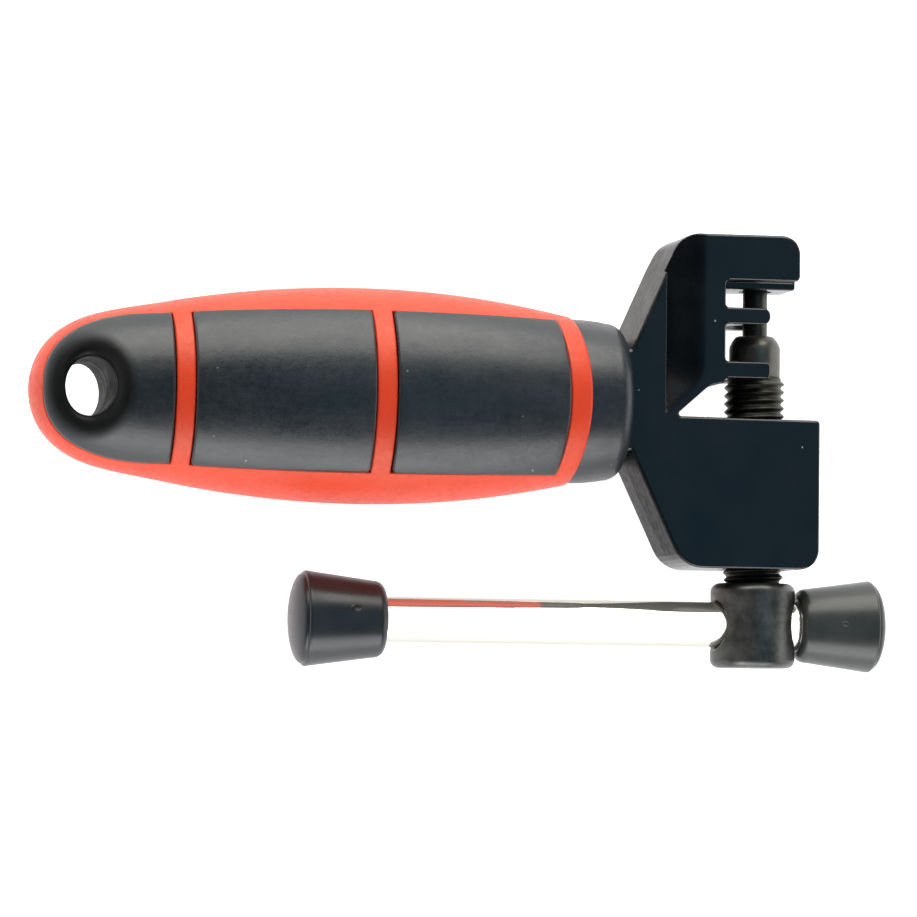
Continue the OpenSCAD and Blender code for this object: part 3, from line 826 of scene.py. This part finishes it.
# ---- soft collar at the neck
prof = [(-26.2, 7.7), (-26.2, 10.2), (-25.8, 10.52), (-24.6, 10.70), (-23.4, 10.66), (-22.2, 10.55), (-21.2, 10.42), (-20.5, 10.28)]
prof += [(-20.5 + 2.3 * math.sin(a), 7.98 + 2.3 * math.cos(a)) for a in np.radians(np.linspace(10, 90, 12))]
prof += [(-18.28, 7.2), (-18.45, 6.0)]
v, f = turned(prof, "u", n=128, tube=True)
piece("neck_collar_boot", v, f, M_PAD, "tool", ["neck_collar"], sharp=55)

# ---- core, hidden under cage and pads: the CAD solid, with a moulded plastic finish
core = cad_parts["handle_core"]
core.data.materials.clear()
core.data.materials.append(M_CORE)

# ---------------------------------------------------------------- screw
PITCH, ROOT, DEPTH = 1.058, 3.95 - 0.44, 0.44
V0, V1 = -23.3, 3.6
SEG = 56
prof_w = np.array([0.0, 0.09, 0.30, 0.44, 0.50, 0.56, 0.70, 0.91])  # across one pitch
prof_r = np.array([0.0, 0.03, 0.62, 0.96, 1.0, 0.96, 0.62, 0.03])
turns = int(math.ceil((V1 - V0) / PITCH)) + 2
N = turns * SEG
i = np.arange(N + 1)
th = 2 * np.pi * i / SEG
vv = V0 - PITCH + PITCH * i[:, None] / SEG + prof_w[None, :] * PITCH
rr = ROOT + DEPTH * prof_r[None, :] * np.ones((N + 1, 1))
top_in = np.clip((V1 - vv) / 0.9, 0, 1)
bot_in = np.clip((vv - V0) / 0.5, 0, 1)
rr = ROOT - 0.05 + (rr - ROOT + 0.05) * np.minimum(top_in * 1.4, 1) * np.minimum(bot_in * 1.4, 1)
vv = np.clip(vv, V0, V1)
x = np.stack([rr * np.sin(th)[:, None], vv, rr * np.cos(th)[:, None]], -1).reshape(-1, 3)
w = len(prof_w)
f = []
for a in range(N):
    for b in range(w):
        if b < w - 1:
            q = (a * w + b, (a + 1) * w + b, (a + 1) * w + b + 1, a * w + b + 1)
        elif a + 1 + SEG <= N:
            q = (a * w + b, (a + 1) * w + b, (a + 1 + SEG) * w, (a + SEG) * w)
        else:
            continue
        f.append(q)
thread = piece("screw_thread", x, f, M_SCREW, "screw", ["spindle_screw"], sharp=80)


def head_field(u, v, z):
    rr = np.sqrt(u * u + z * z)
    d = extrude(rr - 5.55, np.abs(v + 28.95) - 5.55, 1.15)
    hole = np.sqrt((v + 28.85) ** 2 + z * z) - 3.2 + 0 * u
    d = smax(d, -hole, np.where(u < 0, 0.8, 0.35))
    return d


P, Q, G = nets(head_field, (-6.0, -35.0, -6.0), (6.0, -22.9, 6.0), 0.17)
piece("screw_head", P, Q.tolist(), M_HEAD, "screw", ["spindle_screw"], normals=G)

# nose and driver pin
prof = [(3.62, 1.7), (3.62, 3.22), (3.75, 3.35), (7.3, 3.36), (7.75, 3.30), (8.15, 3.14), (8.5, 2.92), (8.78, 2.70), (8.98, 2.52),
        (9.08, 2.32), (9.1, 2.1), (9.1, 1.95), (8.95, 1.72), (6.0, 1.7)]
v, f = turned(prof, "v", n=112, tube=True)
piece("nose_cap", v, f, M_NOSE, "screw", ["pin_nose"], sharp=45)
prof = [(6.25, 1.625), (8.6, 1.625), (10.0, 1.625), (12.0, 1.625), (14.0, 1.62), (15.2, 1.60), (15.45, 1.5), (15.62, 1.36), (15.7, 1.15)]
v, f = turned(prof, "v", n=80)
piece("driver_pin_rod", v, f, M_PIN, "pin", ["driver_pin"], sharp=45)

# ---------------------------------------------------------------- tommy bar and knobs
BV = -28.85
KR, KL = 5.8, 6.1 - 55.4
prof = [(KL - 10.7, 2.5), (KL - 10.2, 3.0)] + [(a, 3.0) for a in np.linspace(KL - 9, KR + 9, 12)] + [(KR + 10.2, 3.0), (KR + 10.7, 2.5)]
v, f = turned(prof, "u", (0, BV, 0), n=96)
piece("tommy_bar_rod", v, f, M_BAR, "bar", ["tommy_bar"], sharp=40)


def knob_shape(sign, at, gate, size=1.0):
    pr = [(10.72, 2.6), (10.3, 3.03), (0.75, 3.03), (0.55, 3.09), (0.18, 3.25), (0.0, 3.5)]
    pr += [(1.3 - 1.3 * math.cos(a), 4.98 - 1.3 + 1.3 * math.sin(a)) for a in np.radians(np.linspace(0, 83, 10))]
    r0, r1 = 4.97, 6.14
    pr += [(1.3 + (9.9 - 1.3) * t, r0 + (r1 - r0) * t) for t in np.linspace(0.02, 1, 9)]
    pr += [(10.12, 6.185), (10.30, 6.19), (10.46, 6.13), (10.56, 6.0), (10.62, 5.85)]
    top_ = 12.3
    for a in np.radians(np.linspace(8, 90, 14)):
        pr.append((10.62 + (top_ - 10.62) * math.sin(a), 5.85 * math.cos(a) + 1e-4))
    v, f = turned(pr, "u", n=112)
    parts = [(v, f)]
    # moulding gate: a shallow ringed disc on the cone's side
    ga, gp, gs = gate
    gr = r0 + (r1 - r0) * (ga - 1.3) / 8.6
    ring_ = []
    for rho, h in ((0.0, 0.02), (0.30, 0.02), (0.42, 0.05), (0.54, 0.08), (0.68, 0.05), (0.82, -0.05)):
        for t in np.linspace(0, 2 * np.pi, 28, endpoint=False):
            da, dp = rho * math.cos(t) * 1.15 * gs, rho * math.sin(t) * 0.8 * gs / gr
            r_ = gr + (r1 - r0) * da / 8.6 + h
            ring_.append((ga + da, r_ * math.sin(gp + dp), r_ * math.cos(gp + dp)))
    gf = []
    for i_ in range(5):
        for j_ in range(28):
            k_ = (j_ + 1) % 28
            gf.append((i_ * 28 + j_, i_ * 28 + k_, (i_ + 1) * 28 + k_, (i_ + 1) * 28 + j_))
    parts.append((np.array(ring_), gf))
    v, f = join(*parts)
    v[:, 0] *= sign * size
    v[:, 1:] *= 0.5 + 0.5 * size
    if sign < 0:
        f = [q[::-1] for q in f]
    return v + np.array([at, BV, 0]), f


v, f = knob_shape(-1, KL, (4.3, 0.25, 1.0))
piece("knob_left_grip", v, f, M_KNOB, "bar", ["knob_left"], sharp=50)
v, f = knob_shape(1, KR, (5.6, 0.04, 0.62), 0.95)
piece("knob_right_grip", v, f, M_KNOB_DULL, "bar", ["knob_right"], sharp=50)

# ---------------------------------------------------------------- floor, light, camera
me = bpy.data.meshes.new("floor")
me.from_pydata([(-3, -3, 0), (3, -3, 0), (3, 3, 0), (-3, 3, 0)], [], [(0, 1, 2, 3)])
floor = bpy.data.objects.new("floor", me)
scene.collection.objects.link(floor)
fm = bpy.data.materials.new("floor_white")
fm.use_nodes = True
fs = next(n for n in fm.node_tree.nodes if n.type == "BSDF_PRINCIPLED")
fs.inputs["Base Color"].default_value = (0.93, 0.93, 0.93, 1)
fs.inputs["Roughness"].default_value = 0.9
fs.inputs["Specular IOR Level"].default_value = 0.1
fs.inputs["Emission Color"].default_value = (1, 1, 1, 1)
fs.inputs["Emission Strength"].default_value = 0.64
me.materials.append(fm)

world = bpy.data.worlds.new("studio")
scene.world = world
world.use_nodes = True
wn = world.node_tree
bg = next(n for n in wn.nodes if n.type == "BACKGROUND")
tc = wn.nodes.new("ShaderNodeTexCoord")
sep = wn.nodes.new("ShaderNodeSeparateXYZ")
wn.links.new(tc.outputs["Generated"], sep.inputs[0])


def ramp(source, stops):
    r = wn.nodes.new("ShaderNodeValToRGB")
    wn.links.new(source, r.inputs[0])
    el = r.color_ramp.elements
    el[0].position, el[0].color = stops[0][0], (*stops[0][1], 1)
    el[1].position, el[1].color = stops[-1][0], (*stops[-1][1], 1)
    for at, c in stops[1:-1]:
        el.new(at).color = (*c, 1)
    return r.outputs[0]


# walls of the room grow dim upwards; overhead there is a cool patch, right of straight up
walls = ramp(sep.outputs["Z"], [(0.0, (0.46, 0.46, 0.46)), (0.3, (0.40, 0.40, 0.41)), (0.6, (0.12, 0.125, 0.13)), (0.9, (0.03, 0.03, 0.033))])
east = wn.nodes.new("ShaderNodeMapRange")
east.inputs["From Min"].default_value = -0.5
east.inputs["From Max"].default_value = 0.5
wn.links.new(sep.outputs["X"], east.inputs["Value"])
sky = ramp(east.outputs["Result"], [(0.1, (0.012, 0.014, 0.016)), (0.4, (0.045, 0.08, 0.12)), (0.68, (0.16, 0.36, 0.53)), (1.0, (0.22, 0.43, 0.58))])
high = wn.nodes.new("ShaderNodeMapRange")
high.inputs["From Min"].default_value = 0.72
high.inputs["From Max"].default_value = 0.90
wn.links.new(sep.outputs["Z"], high.inputs["Value"])
both = wn.nodes.new("ShaderNodeMix")
both.data_type = "RGBA"
wn.links.new(high.outputs["Result"], both.inputs[0])
wn.links.new(walls, both.inputs[6])
wn.links.new(sky, both.inputs[7])
wn.links.new(both.outputs[2], bg.inputs["Color"])
bg.inputs["Strength"].default_value = 1.0


def area(name, at, to, size, watts, tint=(1.0, 1.0, 1.0)):
    d = bpy.data.lights.new(name, "AREA")
    d.shape = "RECTANGLE"
    d.size, d.size_y = size
    d.energy = watts
    d.color = tint
    o = bpy.data.objects.new(name, d)
    scene.collection.objects.link(o)
    z = np.array(at, float) - np.array(to, float)
    z /= np.linalg.norm(z)
    x = np.cross((0, 0, 1), z)
    x /= np.linalg.norm(x)
    y = np.cross(z, x)
    m = np.eye(4)
    m[:3, 0], m[:3, 1], m[:3, 2], m[:3, 3] = x, y, z, at
    o.matrix_world = Matrix(m.tolist())
    return o


mid = (0.0, 0.0, 0.012)
area("softbox_top", (0.0, 0.60, 0.30), mid, (0.9, 0.54), 7.8, (1.0, 0.99, 0.93))
area("softbox_bottom", (0.0, -0.62, 0.22), mid, (0.9, 0.40), 5.4)
area("softbox_left", (-0.66, 0.0, 0.16), mid, (0.7, 0.26), 0.25)
area("softbox_right", (0.66, 0.0, 0.16), mid, (0.7, 0.26), 1.2)
# a panel over the bright bar alone
over = area("bar_panel", (0.16, -0.035, 0.75), (0.0, -0.035, 0.014), (2.6, 1.2), 18.5)
only = bpy.data.collections.new("bar_only")
only.objects.link(bpy.data.objects["tommy_bar_rod"])
over.light_linking.receiver_collection = only

cam = bpy.data.cameras.new("camera")
co = bpy.data.objects.new("camera", cam)
scene.collection.objects.link(co)
scene.camera = co
DIST, SCALE = 650.0, 7.69  # millimetres to the tool, pixels for a millimetre there


def turn(ax, ay, az):
    cx, sx, cy, sy, cz, sz = math.cos(ax), math.sin(ax), math.cos(ay), math.sin(ay), math.cos(az), math.sin(az)
    rx = np.array([[1, 0, 0], [0, cx, -sx], [0, sx, cx]])
    ry = np.array([[cy, 0, sy], [0, 1, 0], [-sy, 0, cy]])
    rz = np.array([[cz, -sz, 0], [sz, cz, 0], [0, 0, 1]])
    return rz @ rx @ ry


T = turn(*np.radians([-3.13, 11.36, -0.642]))
eye = np.array([-38.0, -6.5, 0.0]) + T.T @ np.array([-1.585, -1.262, DIST]) + OFF
m = np.eye(4)
m[:3, :3] = T.T
m[:3, 3] = eye * 0.001
co.matrix_world = Matrix(m.tolist())
cam.sensor_width = 36.0
cam.sensor_fit = "HORIZONTAL"
cam.lens = 36.0 * SCALE * DIST / 917.0
cam.clip_start = 0.01
cam.clip_end = 20.0

scene.view_settings.view_transform = "Standard"
scene.view_settings.look = "None"
scene.view_settings.exposure = 0.0
